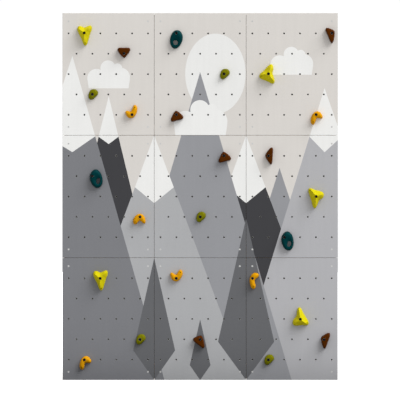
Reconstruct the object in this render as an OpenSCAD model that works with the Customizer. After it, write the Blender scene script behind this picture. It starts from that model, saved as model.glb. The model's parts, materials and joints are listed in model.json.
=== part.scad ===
// Rock climbing wall: nine drilled plywood panels on four timber rails, with bolt-on holds.
// The origin is the centre of the back plane. Climbers stand on the -Y side, and +Z is up.

/* [Wall] */
// Panels side by side
panel_cols = 3; // [3]
// Panels one above another
panel_rows = 3; // [3]
// Width of one panel
panel_w = 600; // [480:1:800]
// Height of one panel
panel_h = 800; // [640:1:1000]
// Plywood thickness
panel_t = 18; // [15:1:24]
// Joint between neighbouring panels
panel_gap = 2; // [1:0.5:5]

/* [Rails] */
// Thickness of the timber rails, which is the room for bolt ends behind the panels
rail_t = 27; // [24:1:45]
// Height of the rails behind a joint between two panels
seam_rail_h = 145; // [135:1:170]
// Height of the top and bottom rails
edge_rail_h = 95; // [90:1:105]
// How far the rails stop short of the panels' outer edges
rail_inset = 10; // [0:1:25]
// Wall fixing hole through a rail
fixing_d = 9; // [6:0.5:12]
// Recess for the fixing's head
fixing_recess_d = 22; // [16:1:30]
// Depth of that recess
fixing_recess_depth = 8; // [4:1:12]
// Outer wall fixings, from the rail's end
fixing_end_inset = 62; // [30:1:120]
// Inner wall fixings, from the wall's centre line
fixing_inner_x = 280; // [200:1:320]

/* [Threaded inserts] */
// Rows of inserts in one panel
nut_rows = 5; // [5]
// Inserts in the first, third and fifth rows; the rows between have one fewer, set half a step in
nuts_in_row = 6; // [6]
// Outer inserts, from the panel's side edges
nut_margin = 40; // [30:1:60]
// Flange diameter
nut_flange_d = 25; // [20:0.5:30]
// Flange thickness
nut_flange_t = 1.5; // [1:0.1:3]
// Barrel diameter
nut_barrel_d = 12; // [11.4:0.1:14]
// Barrel length inside the plywood
nut_barrel_l = 11; // [8:0.5:14]
// Clearance round the barrel in its hole
nut_clear = 0.1; // [0.05:0.05:0.3]

/* [Bolts] */
// Bolt shank diameter
bolt_d = 10; // [8:0.5:10]
// Clearance round the shank in the insert
thread_clear = 0.1; // [0.05:0.05:0.2]
// Socket head diameter
bolt_head_d = 16; // [13:0.5:17]
// Socket head height
bolt_head_h = 10; // [8:0.5:10]
// Hex key size
bolt_key = 8; // [6:0.5:8]
// Depth of the hex socket
bolt_key_depth = 5; // [4:0.5:6]
// Least length of bolt behind the panel
bolt_tail = 6; // [4:0.5:10]
// Washer diameter
washer_d = 18; // [17:0.5:20]
// Washer thickness
washer_t = 2; // [1.5:0.1:3]

/* [Panel screws] */
// Screws from a panel's side edges
screw_side = 40; // [25:1:60]
// Screws from a panel's top and bottom edges
screw_end = 54; // [45:1:60]
// Countersunk head diameter
screw_head_d = 12; // [9:0.5:13]
// Height of the head's cone
screw_head_h = 3.5; // [2.5:0.5:4.5]
// Screw shank diameter
screw_d = 5; // [4:0.5:6]
// Screw length
screw_l = 40; // [30:1:42]
// Clearance round a screw in its hole
screw_clear = 0.1; // [0.05:0.05:0.5]

/* [Holds] */
// How much taller every hold is on the wall than its outline below
hold_rise = 1.333; // [1:0.001:1.4]
// Running gap between a hold and the panel, and between a hold and its washer
hold_gap = 0.3; // [0.2:0.05:0.5]
// Clearance round the bolt shank in a hold
hold_bore_clear = 1; // [0.6:0.1:2]
// Clearance round the washer in its pocket
hold_pocket_clear = 1; // [0.5:0.1:2]
// Height of a star hold
star_h = 55; // [45:1:70]
// Plastic under a star hold's washer
star_seat = 26; // [18:1:32]
// Height of a wedge hold
wedge_h = 38; // [34:1:50]
// Plastic under a wedge hold's washer
wedge_seat = 18; // [12:1:22]
// Height of a pocket hold
pocket_h = 45; // [38:1:60]
// Plastic under a pocket hold's washer
pocket_seat = 16; // [12:1:22]
// Finger pocket's centre, from the bolt
pocket_reach = 46; // [44:1:50]
// Finger pocket's width, across the line from the bolt
pocket_w = 31; // [28:1:40]
// Finger pocket's length, along the line from the bolt
pocket_l = 25; // [22:1:30]
// Height of a crimp hold
crimp_h = 30; // [27:1:40]
// Plastic under a crimp hold's washer
crimp_seat = 14; // [10:1:18]
// Height of a crescent hold
crescent_h = 35; // [30:1:50]
// Plastic under a crescent hold's washer
crescent_seat = 15; // [12:1:20]

/* [Hidden] */
// Columns run from left to right and rows from top to bottom, as a climber sees them
COL_NAMES = ["left", "centre", "right"];
ROW_NAMES = ["top", "middle", "bottom"];
RAIL_NAMES = ["rail_top", "rail_upper", "rail_lower", "rail_bottom"];

// Each kind: name, height, plastic under the washer, how square its dome is, the share of the outline
// left flat on top, crown point, colour and outline about the bolt, anticlockwise
STAR = ["star", star_h, star_seat, 2.0, 0.44, [0, 0], "gold", [
    [38, -2], [47, 15], [49, 31], [38, 39], [17, 34], [-2, 29], [-24, 36], [-41, 33],
    [-47, 18], [-36, -4], [-19, -28], [-6, -53], [7, -60], [18, -52], [28, -28]]];
WEDGE = ["wedge", wedge_h, wedge_seat, 3.5, 0.78, [0, 9], "saddlebrown", [
    [37, 11], [40, 21], [32, 29], [0, 29], [-32, 29], [-43, 22], [-38, 8],
    [-16, -12], [0, -20], [15, -12]]];
POCKET = ["pocket", pocket_h, pocket_seat, 3.0, 0.55, [-1, -26], "darkslategray", [
    [31, 6], [12, 15], [-9, 14], [-27, 2], [-39, -20], [-42, -43],
    [-34, -62], [-18, -74], [4, -73], [25, -59], [39, -38], [42, -13]]];
CRIMP = ["crimp", crimp_h, crimp_seat, 2.6, 0.56, [2, 2], "olive", [
    [38, 4], [35, 15], [24, 24], [8, 26], [-10, 22], [-21, 10],
    [-26, -6], [-22, -20], [-9, -26], [7, -22], [22, -12], [33, -4]]];
CRESCENT = ["crescent", crescent_h, crescent_seat, 2.5, 0.72, [0, 0], "orange", [
    [22, -3], [30, 10], [35, 27], [31, 42], [19, 49], [7, 42], [1, 28], [-6, 18],
    [-18, 17], [-33, 20], [-44, 14], [-41, 1], [-28, -12], [-12, -17], [5, -15], [15, -9]]];

// Each hold: kind, number, panel column and row, insert column and row, clockwise turn
HOLDS = [
    [STAR, 1, 0, 0, 2, 1, 0],
    [STAR, 2, 2, 0, 2, 3, 85],
    [STAR, 3, 2, 1, 5, 3, 135],
    [STAR, 4, 0, 2, 3, 1, 0],
    [STAR, 5, 2, 2, 4, 3, 300],
    [WEDGE, 1, 0, 0, 4, 2, 0],
    [WEDGE, 2, 2, 0, 6, 1, 240],
    [WEDGE, 3, 1, 0, 2, 5, 170],
    [WEDGE, 4, 1, 1, 5, 1, 170],
    [WEDGE, 5, 2, 1, 2, 1, 95],
    [WEDGE, 6, 1, 2, 3, 4, 210],
    [WEDGE, 7, 2, 2, 5, 4, 115],
    [POCKET, 1, 1, 0, 2, 1, 0],
    [POCKET, 2, 0, 1, 2, 2, 295],
    [POCKET, 3, 2, 1, 3, 5, 308],
    [CRIMP, 1, 1, 0, 5, 3, 0],
    [CRIMP, 2, 0, 0, 2, 4, 0],
    [CRIMP, 3, 1, 1, 3, 4, 0],
    [CRIMP, 4, 0, 2, 5, 4, 0],
    [CRIMP, 5, 2, 2, 2, 5, 0],
    [CRESCENT, 1, 0, 0, 5, 5, 0],
    [CRESCENT, 2, 2, 0, 5, 5, 180],
    [CRESCENT, 3, 0, 1, 5, 4, 205],
    [CRESCENT, 4, 1, 2, 2, 1, 15],
    [CRESCENT, 5, 2, 2, 1, 1, 140],
    [CRESCENT, 6, 0, 2, 2, 5, 175],
];

// Direction of the finger pocket from the bolt, in the outline's frame
pocket_angle = 264;
pocket_sides = 28;
// Straight pieces between two outline points, and bands of facets from a dome's base to its top
outline_steps = 3;
dome_bands = 5;
// Overrun of cutters, and the little that joined solids share
through = 1;
eps = 0.1;
$fn = 48;

front_y = -(rail_t + panel_t);
step_x = panel_w + panel_gap;
step_z = panel_h + panel_gap;
wall_w = panel_cols * step_x - panel_gap;
wall_h = panel_rows * step_z - panel_gap;
rail_l = wall_w - 2 * rail_inset;
nut_pitch = (panel_w - 2 * nut_margin) / (nuts_in_row - 1);
nut_row_pitch = panel_h / (nut_rows + 1);
fixing_outer_x = rail_l / 2 - fixing_end_inset;
fixing_xs = [-fixing_outer_x, -fixing_inner_x, fixing_inner_x, fixing_outer_x];

function panel_x(col) = (col - (panel_cols - 1) / 2) * step_x;
function panel_z(row) = ((panel_rows - 1) / 2 - row) * step_z;
function is_short_row(row) = row % 2 == 0;
function nuts_in(row) = is_short_row(row) ? nuts_in_row - 1 : nuts_in_row;
function nut_x(col, row) =
    -panel_w / 2 + nut_margin + (col - 1) * nut_pitch + (is_short_row(row) ? nut_pitch / 2 : 0);
function nut_z(row) = panel_h / 2 - row * nut_row_pitch;
function nut_places() = [
    for (row = [1:nut_rows]) for (col = [1:nuts_in(row)]) [nut_x(col, row), nut_z(row)]];
function screw_places() = [
    for (side = [-1, 1]) for (end = [-1, 1])
        [side * (panel_w / 2 - screw_side), end * (panel_h / 2 - screw_end)]];

// The rails: seam rails are centred on a joint, and the outer two sit just inside the wall's edges
function rail_h(i) = i == 0 || i == panel_rows ? edge_rail_h : seam_rail_h;
function rail_z(i) =
    i == 0 ? wall_h / 2 - rail_inset - edge_rail_h / 2
    : i == panel_rows ? -wall_h / 2 + rail_inset + edge_rail_h / 2
    : panel_z(i - 1) - step_z / 2;

function kind_name(hold) = hold[0][0];
function kind_h(hold) = hold[0][1];
function kind_seat(hold) = hold[0][2];
function hold_name(hold) = str("hold_", kind_name(hold), "_", hold[1]);
function hold_x(hold) = panel_x(hold[2]) + nut_x(hold[4], hold[5]);
function hold_z(hold) = panel_z(hold[3]) + nut_z(hold[5]);
function washer_base(seat) = hold_gap + seat + hold_gap;
// Bolts come in steps of 5 mm
function bolt_l(seat) = 5 * ceil((washer_base(seat) + washer_t + panel_t + bolt_tail) / 5);

// Closed smooth curve through points
function bend(a, b, c, d, t) =
    0.5 * (2 * b + (c - a) * t + (2 * a - 5 * b + 4 * c - d) * t * t + (3 * b - a - 3 * c + d) * t * t * t);
function smooth(points) = let (n = len(points)) [
    for (i = [0:n - 1]) for (j = [0:outline_steps - 1])
        bend(points[(i + n - 1) % n], points[i], points[(i + 1) % n], points[(i + 2) % n],
            j / outline_steps)];
// Turns a point clockwise by the hold's angle and stretches it upwards
function on_wall(p, turn) = [
    p.x * cos(turn) + p.y * sin(turn), (p.y * cos(turn) - p.x * sin(turn)) * hold_rise];

function panel_name(what, col, row) = str(what, "_", ROW_NAMES[row], "_", COL_NAMES[col]);

// Puts children, drawn with +Z out of the wall, at a place on the wall's front
module on_front(x, z) {
    translate([x, front_y, z]) rotate([90, 0, 0]) children();
}

// One plywood panel, drilled for its inserts and countersunk for its four screws
module panel(col, row) {
    color(row == 0 ? "#d3d0cb" : "#8f9196") difference() {
        translate([panel_x(col) - panel_w / 2, front_y, panel_z(row) - panel_h / 2])
            cube([panel_w, panel_t, panel_h]);
        for (p = nut_places())
            on_front(panel_x(col) + p.x, panel_z(row) + p.y)
                translate([0, 0, -panel_t - through])
                    cylinder(d = nut_barrel_d + 2 * nut_clear, h = panel_t + 2 * through);
        for (p = screw_places())
            on_front(panel_x(col) + p.x, panel_z(row) + p.y)
                screw_shape(screw_clear, panel_t + through);
    }
}

// A countersunk screw from its head's face inwards, grown by a clearance
module screw_shape(grow, depth) {
    translate([0, 0, -depth]) cylinder(d = screw_d + 2 * grow, h = depth);
    translate([0, 0, -screw_head_h - grow])
        cylinder(d1 = screw_d + 2 * grow, d2 = screw_head_d + 2 * grow, h = screw_head_h + grow);
    if (grow > 0) cylinder(d = screw_head_d + 2 * grow, h = through);
}

// The steel threaded inserts pressed into one panel from behind
module inserts(col, row) {
    color("silver")
        for (p = nut_places())
            on_front(panel_x(col) + p.x, panel_z(row) + p.y)
                difference() {
                    union() {
                        translate([0, 0, -panel_t - nut_flange_t])
                            cylinder(d = nut_flange_d, h = nut_flange_t);
                        translate([0, 0, -panel_t]) cylinder(d = nut_barrel_d, h = nut_barrel_l);
                    }
                    translate([0, 0, -panel_t - nut_flange_t - through])
                        cylinder(
                            d = bolt_d + 2 * thread_clear, h = nut_flange_t + nut_barrel_l + 2 * through);
                }
}

// One timber rail, with recessed wall fixing holes and pilot holes for the panel screws
module rail(i) {
    pilot_depth = screw_l - panel_t + through;
    color("burlywood") difference() {
        translate([-rail_l / 2, -rail_t, rail_z(i) - rail_h(i) / 2]) cube([rail_l, rail_t, rail_h(i)]);
        for (x = fixing_xs)
            on_front(x, rail_z(i)) {
                translate([0, 0, -panel_t - rail_t - through])
                    cylinder(d = fixing_d, h = rail_t + 2 * through);
                translate([0, 0, -panel_t - fixing_recess_depth])
                    cylinder(d = fixing_recess_d, h = fixing_recess_depth + through);
            }
        for (col = [0:panel_cols - 1])
            for (row = [0:panel_rows - 1])
                for (p = screw_places())
                    if (abs(panel_z(row) + p.y - rail_z(i)) < rail_h(i) / 2)
                        on_front(panel_x(col) + p.x, panel_z(row) + p.y)
                            translate([0, 0, -panel_t - pilot_depth])
                                cylinder(d = screw_d + 2 * screw_clear, h = pilot_depth + through);
    }
}

// Four white countersunk screws in each panel
module panel_screws() {
    point_l = screw_d;
    color("white")
        for (col = [0:panel_cols - 1])
            for (row = [0:panel_rows - 1])
                for (p = screw_places())
                    on_front(panel_x(col) + p.x, panel_z(row) + p.y)
                        difference() {
                            union() {
                                screw_shape(0, screw_l - point_l);
                                translate([0, 0, -screw_l]) cylinder(d1 = 1, d2 = screw_d, h = point_l);
                            }
                            translate([0, 0, -screw_head_h / 2])
                                cylinder(d = screw_d, h = screw_head_h, $fn = 6);
                        }
}

// The socket head bolts that clamp the holds
module hold_bolts() {
    color("dimgray")
        for (hold = HOLDS)
            on_front(hold_x(hold), hold_z(hold))
                translate([0, 0, washer_base(kind_seat(hold)) + washer_t])
                    difference() {
                        union() {
                            cylinder(d = bolt_head_d, h = bolt_head_h);
                            translate([0, 0, -bolt_l(kind_seat(hold))])
                                cylinder(d = bolt_d, h = bolt_l(kind_seat(hold)) + eps);
                        }
                        translate([0, 0, bolt_head_h - bolt_key_depth])
                            cylinder(d = bolt_key / cos(30), h = bolt_key_depth + through, $fn = 6);
                    }
}

// One flat washer under each bolt head
module hold_washers() {
    washer_clear = 0.5;
    color("lightgray")
        for (hold = HOLDS)
            on_front(hold_x(hold), hold_z(hold))
                translate([0, 0, washer_base(kind_seat(hold))])
                    difference() {
                        cylinder(d = washer_d, h = washer_t);
                        translate([0, 0, -through])
                            cylinder(d = bolt_d + 2 * washer_clear, h = washer_t + 2 * through);
                    }
}

// A closed dome: rings shrink towards the crown point as they rise, and end in a flat top
module dome(outline, crown, height, square, flat) {
    n = len(outline);
    end = acos(pow(flat, square / 2));
    points = [
        for (band = [0:dome_bands])
            let (a = end * band / dome_bands,
                 s = pow(cos(a), 2 / square),
                 h = height * pow(sin(a) / sin(end), 2 / square))
                for (p = outline) [crown.x + (p.x - crown.x) * s, crown.y + (p.y - crown.y) * s, h]];
    sides = [
        for (r = [0:dome_bands - 1]) for (i = [0:n - 1])
            [r * n + i, (r + 1) * n + i, (r + 1) * n + (i + 1) % n, r * n + (i + 1) % n]];
    base = [for (i = [0:n - 1]) i];
    top = [for (i = [n - 1:-1:0]) dome_bands * n + i];
    polyhedron(points, concat([base], sides, [top]));
}

// The finger pocket's oval, in the hold's own outline frame
function pocket_oval() = [
    for (i = [0:pocket_sides - 1])
        let (a = i * 360 / pocket_sides, u = pocket_reach + pocket_l / 2 * cos(a), v = pocket_w / 2 * sin(a))
            [u * cos(pocket_angle) - v * sin(pocket_angle), u * sin(pocket_angle) + v * cos(pocket_angle)]];

// One cast hold: a dome with a bolt hole, a round recess for washer and bolt head, and its pocket
module hold(hold) {
    kind = hold[0];
    turn = hold[6];
    outline = [for (p = smooth(kind[7])) on_wall(p, turn)];
    color(kind[6])
        on_front(hold_x(hold), hold_z(hold))
            translate([0, 0, hold_gap])
                difference() {
                    dome(outline, on_wall(kind[5], turn), kind_h(hold), kind[3], kind[4]);
                    translate([0, 0, -through])
                        cylinder(d = bolt_d + 2 * hold_bore_clear, h = kind_seat(hold) + 2 * through);
                    translate([0, 0, kind_seat(hold)])
                        cylinder(d = washer_d + 2 * hold_pocket_clear, h = kind_h(hold));
                    if (kind_name(hold) == "pocket")
                        translate([0, 0, -through])
                            linear_extrude(kind_h(hold) + 2 * through)
                                polygon([for (p = pocket_oval()) on_wall(p, turn)]);
                }
}

for (row = [0:panel_rows - 1])
    for (col = [0:panel_cols - 1]) {
        panel(col, row);
        inserts(col, row);
    }
for (i = [0:panel_rows])
    rail(i);
panel_screws();
hold_bolts();
hold_washers();
for (hold = HOLDS)
    hold(hold);
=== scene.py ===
"""Looks for a rock climbing wall: nine painted plywood panels on four timber rails, with threaded
inserts pressed in from behind and 26 cast holds bolted to the front.

The frame's origin is the centre of the back plane. Climbers stand on the -Y side, and +Z is up.
Lengths are in metres, and sizes written with MM in millimetres. The mural and the holds are drawn in
millimetres, and scaled by MM when their meshes are made.
"""
import json
import math

import bpy
import numpy as np
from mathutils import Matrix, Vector, noise
from mathutils.geometry import delaunay_2d_cdt


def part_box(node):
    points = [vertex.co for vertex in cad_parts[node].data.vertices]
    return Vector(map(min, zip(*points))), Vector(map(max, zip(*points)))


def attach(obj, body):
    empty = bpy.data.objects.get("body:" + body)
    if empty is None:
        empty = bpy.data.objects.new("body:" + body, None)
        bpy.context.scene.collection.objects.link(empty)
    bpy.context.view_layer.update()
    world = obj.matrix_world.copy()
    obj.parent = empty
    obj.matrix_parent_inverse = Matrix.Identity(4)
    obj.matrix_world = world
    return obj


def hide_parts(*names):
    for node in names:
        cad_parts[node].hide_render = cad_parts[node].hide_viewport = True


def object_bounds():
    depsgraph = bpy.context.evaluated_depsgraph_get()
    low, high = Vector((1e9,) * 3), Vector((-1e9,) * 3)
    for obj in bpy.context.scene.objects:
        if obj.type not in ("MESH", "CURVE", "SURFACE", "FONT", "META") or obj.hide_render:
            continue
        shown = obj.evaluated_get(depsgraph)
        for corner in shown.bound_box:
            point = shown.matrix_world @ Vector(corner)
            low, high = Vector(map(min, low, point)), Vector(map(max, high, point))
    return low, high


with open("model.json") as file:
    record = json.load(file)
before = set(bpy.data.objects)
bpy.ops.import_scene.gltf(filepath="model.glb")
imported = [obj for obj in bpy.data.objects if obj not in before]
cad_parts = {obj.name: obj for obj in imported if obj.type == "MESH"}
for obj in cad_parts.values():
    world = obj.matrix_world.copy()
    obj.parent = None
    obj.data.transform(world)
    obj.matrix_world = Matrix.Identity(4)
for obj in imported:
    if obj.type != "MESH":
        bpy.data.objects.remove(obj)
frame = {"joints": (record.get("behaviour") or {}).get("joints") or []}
cad_low, cad_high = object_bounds()
MM = 0.001


# Panels. Birch plywood sheets, drilled for the inserts, countersunk for the corner screws, eased
# along every edge and painted on the front with one mural that runs across all nine. They are
# screwed to the rails with a narrow joint between them.
PANEL_ROWS = ("top", "middle", "bottom")
PANEL_COLS = ("left", "centre", "right")
INSERTS_IN_LONG_ROW = 6
INSERT_ROWS = 5
INSERT_MARGIN = 40 * MM
INSERT_HOLE_R = 6.1 * MM
INSERT_HOLE_BREAK = 0.4 * MM
SCREW_FROM_SIDE = 40 * MM
SCREW_FROM_END = 54 * MM
COUNTERSINK_R = 6.1 * MM
COUNTERSINK_DEPTH = 3.6 * MM
SCREW_HOLE_R = 2.6 * MM
PANEL_EASE = 1.2 * MM
PLIES = 13
HOLE_SIDES = 20
CREASE = 32
BOARD_CREASE = 10
FRONT, EDGE, BACK, HOLE = range(4)

low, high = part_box("panel_middle_centre")
panel_w, panel_t, panel_h = high - low
front_y = low.y
step_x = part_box("panel_middle_right")[0].x - low.x
step_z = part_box("panel_top_centre")[0].z - low.z
insert_pitch = (panel_w - 2 * INSERT_MARGIN) / (INSERTS_IN_LONG_ROW - 1)
insert_row_pitch = panel_h / (INSERT_ROWS + 1)
wall_half_h = 1.5 * step_z


def paint(red, green, blue):
    """The linear colour of a paint from its shade on a card, 0 to 255. It is a little darker than the
    card, because the studio's light is a little over full strength."""
    darker = 0.93
    shares = [c / 255 for c in (red, green, blue)]
    return [darker * (c / 12.92 if c <= 0.04045 else ((c + 0.055) / 1.055) ** 2.4) for c in shares]


SKY = paint(214, 210, 205)
SNOW = paint(234, 234, 232)
MOON = paint(231, 231, 229)
SLATE = paint(124, 125, 129)
CHARCOAL = paint(63, 63, 66)
SILVER = paint(171, 172, 174)
STEEL_GREY = paint(148, 149, 153)
PEARL = paint(176, 176, 179)
GRAPHITE = paint(101, 102, 105)


def ellipse(x, z, half_w, half_h, points=48):
    turns = np.linspace(0, 2 * math.pi, points, endpoint=False)
    return np.stack([x + half_w * np.cos(turns), z + half_h * np.sin(turns)], axis=1)


def slopes(apex_x, apex_z, run_left, run_right):
    """A mountain: an apex and two straight sides, which run out by so much for each unit of fall. Its
    foot is below the wall, so that the lowest panels cut it off."""
    below_the_wall = 20
    foot_z = -wall_half_h / MM - below_the_wall
    fall = apex_z - foot_z
    left, right = apex_x - run_left * fall, apex_x + run_right * fall
    return np.array([(apex_x, apex_z), (left, foot_z), (right, foot_z)])


def snow_cap(apex_x, apex_z, run_left, run_right, ends_z, valley_z):
    """The white top of a mountain, ending in a V."""
    fall = apex_z - ends_z
    left, right = apex_x - run_left * fall, apex_x + run_right * fall
    return np.array([(apex_x, apex_z), (left, ends_z), (apex_x, valley_z), (right, ends_z)])


def kite(x, apex_z, side_z, foot_z, half_w):
    return np.array([(x, apex_z), (x - half_w, side_z), (x, foot_z), (x + half_w, side_z)])


def cloud(x, base_z, size=1.0):
    """A cloud as outlines that overlap: four round bumps on a flat-bottomed body with leaning ends."""
    bumps = [(-79, 67, 60), (-3, 133, 50), (59, 133, 30), (78, 73, 62)]
    body = np.array([(-138, 61), (-130, 0), (131, 0), (140, 61), (78, 130), (-79, 120)])
    place = np.array([x, base_z])
    round_tops = [place + size * ellipse(dx, dz, radius, radius) for dx, dz, radius in bumps]
    return round_tops + [place + size * body]


# The mural from back to front, in millimetres from the middle of the wall. The peaks give an apex and
# how far the two sides run out, and FOOT is the foot of the wall.
joint = step_x / 2 / MM, step_z / 2 / MM
FOOT = -1202
FAR_LEFT_PEAK = (-837, 922, 0.327, 0.284)
DARK_PEAK = (-599, 657, 0.248, 0.242)
LEFT_PEAK = (-joint[0], joint[1], 0.371, 0.377)
RIGHT_PEAK = (joint[0], joint[1], 0.365, 0.374)
FAR_RIGHT_PEAK = (815, 711, 0.309, 0.345)
mural = [
    (MOON, [ellipse(100, 804, 198, 263, 96)]),
    (STEEL_GREY, [slopes(520, 187, 0.322, 0.33)]),
    (CHARCOAL, [slopes(*RIGHT_PEAK)]),
    (SNOW, [snow_cap(*RIGHT_PEAK, 61, -43)]),
    (PEARL, [slopes(*FAR_RIGHT_PEAK)]),
    (SNOW, [snow_cap(*FAR_RIGHT_PEAK, 392, 290)]),
    (CHARCOAL, [slopes(*DARK_PEAK)]),
    (SNOW, [snow_cap(*DARK_PEAK, 392, 344)]),
    (STEEL_GREY, [slopes(0, 816, 0.297, 0.297)]),
    (SNOW, cloud(2, joint[1], 1.26)),
    (SILVER, [slopes(*LEFT_PEAK)]),
    (SNOW, [snow_cap(*LEFT_PEAK, 61, -43)]),
    (SLATE, [slopes(*FAR_LEFT_PEAK)]),
    (SNOW, [snow_cap(*FAR_LEFT_PEAK, 395, 291)]),
    (GRAPHITE, [
        kite(-joint[0], -joint[1], -1008, FOOT, 137),
        kite(joint[0], -140, -951, FOOT, 184),
        kite(0, -804, -1104, FOOT, 68),
    ]),
    (SNOW, cloud(-600, 709) + cloud(600, 798)),
]
mural = [(colour, [outline * MM for outline in outlines]) for colour, outlines in mural]


def inside(points, outline):
    """Which points lie within a closed outline, by counting the edges to one side of each."""
    x, z = points[:, 0], points[:, 1]
    within = np.zeros(len(points), bool)
    for (x0, z0), (x1, z1) in zip(outline, np.roll(outline, -1, axis=0)):
        if z0 != z1:
            within ^= ((z0 > z) != (z1 > z)) & (x < x0 + (x1 - x0) * (z - z0) / (z1 - z0))
    return within


def stacked(rings):
    """The points of some closed rings as one array, and the point numbers of each ring."""
    starts = np.cumsum([0] + [len(ring) for ring in rings]).tolist()
    return np.vstack(rings), [list(range(a, b)) for a, b in zip(starts, starts[1:])]


def triangulate(points, loops, keep):
    """Triangles between closed loops of point numbers, as (points, triangles, source of each point).
    keep picks triangles by their middles."""
    scale = 1000
    edges = [(a, b) for loop in loops for a, b in zip(loop, loop[1:] + loop[:1])]
    flat = [Vector((x * scale, z * scale)) for x, z in points]
    made, _, faces, sources, _, _ = delaunay_2d_cdt(flat, edges, [], 0, 1e-4)
    made = np.array(made) / scale
    faces = np.array(faces)
    kept = faces[keep(made[faces].mean(axis=1))]
    a, b, c = (made[kept[:, i]] for i in range(3))
    clockwise = (b - a)[:, 0] * (c - a)[:, 1] < (b - a)[:, 1] * (c - a)[:, 0]
    kept[clockwise] = kept[clockwise][:, ::-1]
    return made, kept, sources


def rims(faces):
    """The closed loops round a patch of triangles, each in the direction of its triangles, and which
    triangle has each directed edge."""
    directed = {(f[i], f[(i + 1) % 3]): n for n, f in enumerate(faces.tolist()) for i in range(3)}
    onward = {a: b for a, b in directed if (b, a) not in directed}
    loops = []
    while onward:
        start, at = next(iter(onward.items()))
        loop = [start]
        del onward[start]
        while at != start:
            loop.append(at)
            at = onward.pop(at)
        loops.append(loop)
    return loops, directed


def new_piece(name, points, faces, materials, face_materials=None, paints=None, crease=CREASE):
    """A mesh object from points and faces, smooth but where it turns by more than crease degrees."""
    mesh = bpy.data.meshes.new(name)
    mesh.from_pydata([tuple(p) for p in points], [], [list(map(int, f)) for f in faces])
    for material in materials:
        mesh.materials.append(material)
    if face_materials is not None:
        mesh.polygons.foreach_set("material_index", face_materials)
    if paints is not None:
        corners = [(*paint_of, 1.0) for f, paint_of in zip(faces, paints) for _ in f]
        mesh.color_attributes.new("paint", "FLOAT_COLOR", "CORNER").data.foreach_set(
            "color", np.array(corners, np.float32).ravel())
    mesh.polygons.foreach_set("use_smooth", [True] * len(mesh.polygons))
    mesh.set_sharp_from_angle(angle=math.radians(crease))
    mesh.validate()
    piece = bpy.data.objects.new(name, mesh)
    bpy.context.scene.collection.objects.link(piece)
    return piece


def edge_rings(outline, middle, half, ease, thickness):
    """The rings of a board's edge, from its front over both eased corners to its back, each with its
    depth and its material."""
    rings = []
    for turn in (math.pi / 6, math.pi / 3, math.pi / 2):
        wider = (half - ease * (1 - math.sin(turn))) / (half - ease)
        rings.append((middle + (outline - middle) * wider, ease * (1 - math.cos(turn)), FRONT))
    rings += [(ring, thickness - depth, EDGE) for ring, depth, _ in reversed(rings)]
    return rings + [(outline, thickness, BACK)]


def hole_rings(mouth, centre, steps):
    """The rings down the wall of a hole, each with its depth and its material."""
    return [(centre + (mouth - centre) * radius / steps[0][0], depth, HOLE if i else FRONT)
            for i, (radius, depth) in enumerate(steps[1:])]


def face_outlines(middle, half, ease, holes, mural):
    """The outlines that divide a board's flat front: its own, its holes' and those of its mural."""
    corners = np.array([(-1, -1), (1, -1), (1, 1), (-1, 1)])
    circle = ellipse(0, 0, 1, 1, HOLE_SIDES)
    outlines = [middle + corners * (half - ease)]
    outlines += [np.array([x, z]) + steps[0][0] * circle for x, z, steps in holes]
    for _, patches in mural:
        outlines += [patch for patch in patches if (patch.min(0) < middle + half).all()
                     and (patch.max(0) > middle - half).all()]
    return outlines


def paints_at(places, mural):
    """The paint at each place: that of the last patch of the mural that covers it, or else the sky's."""
    paints = np.tile(SKY, (len(places), 1))
    for colour, patches in mural:
        for patch in patches:
            paints[inside(places, patch)] = colour
    return paints


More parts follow.
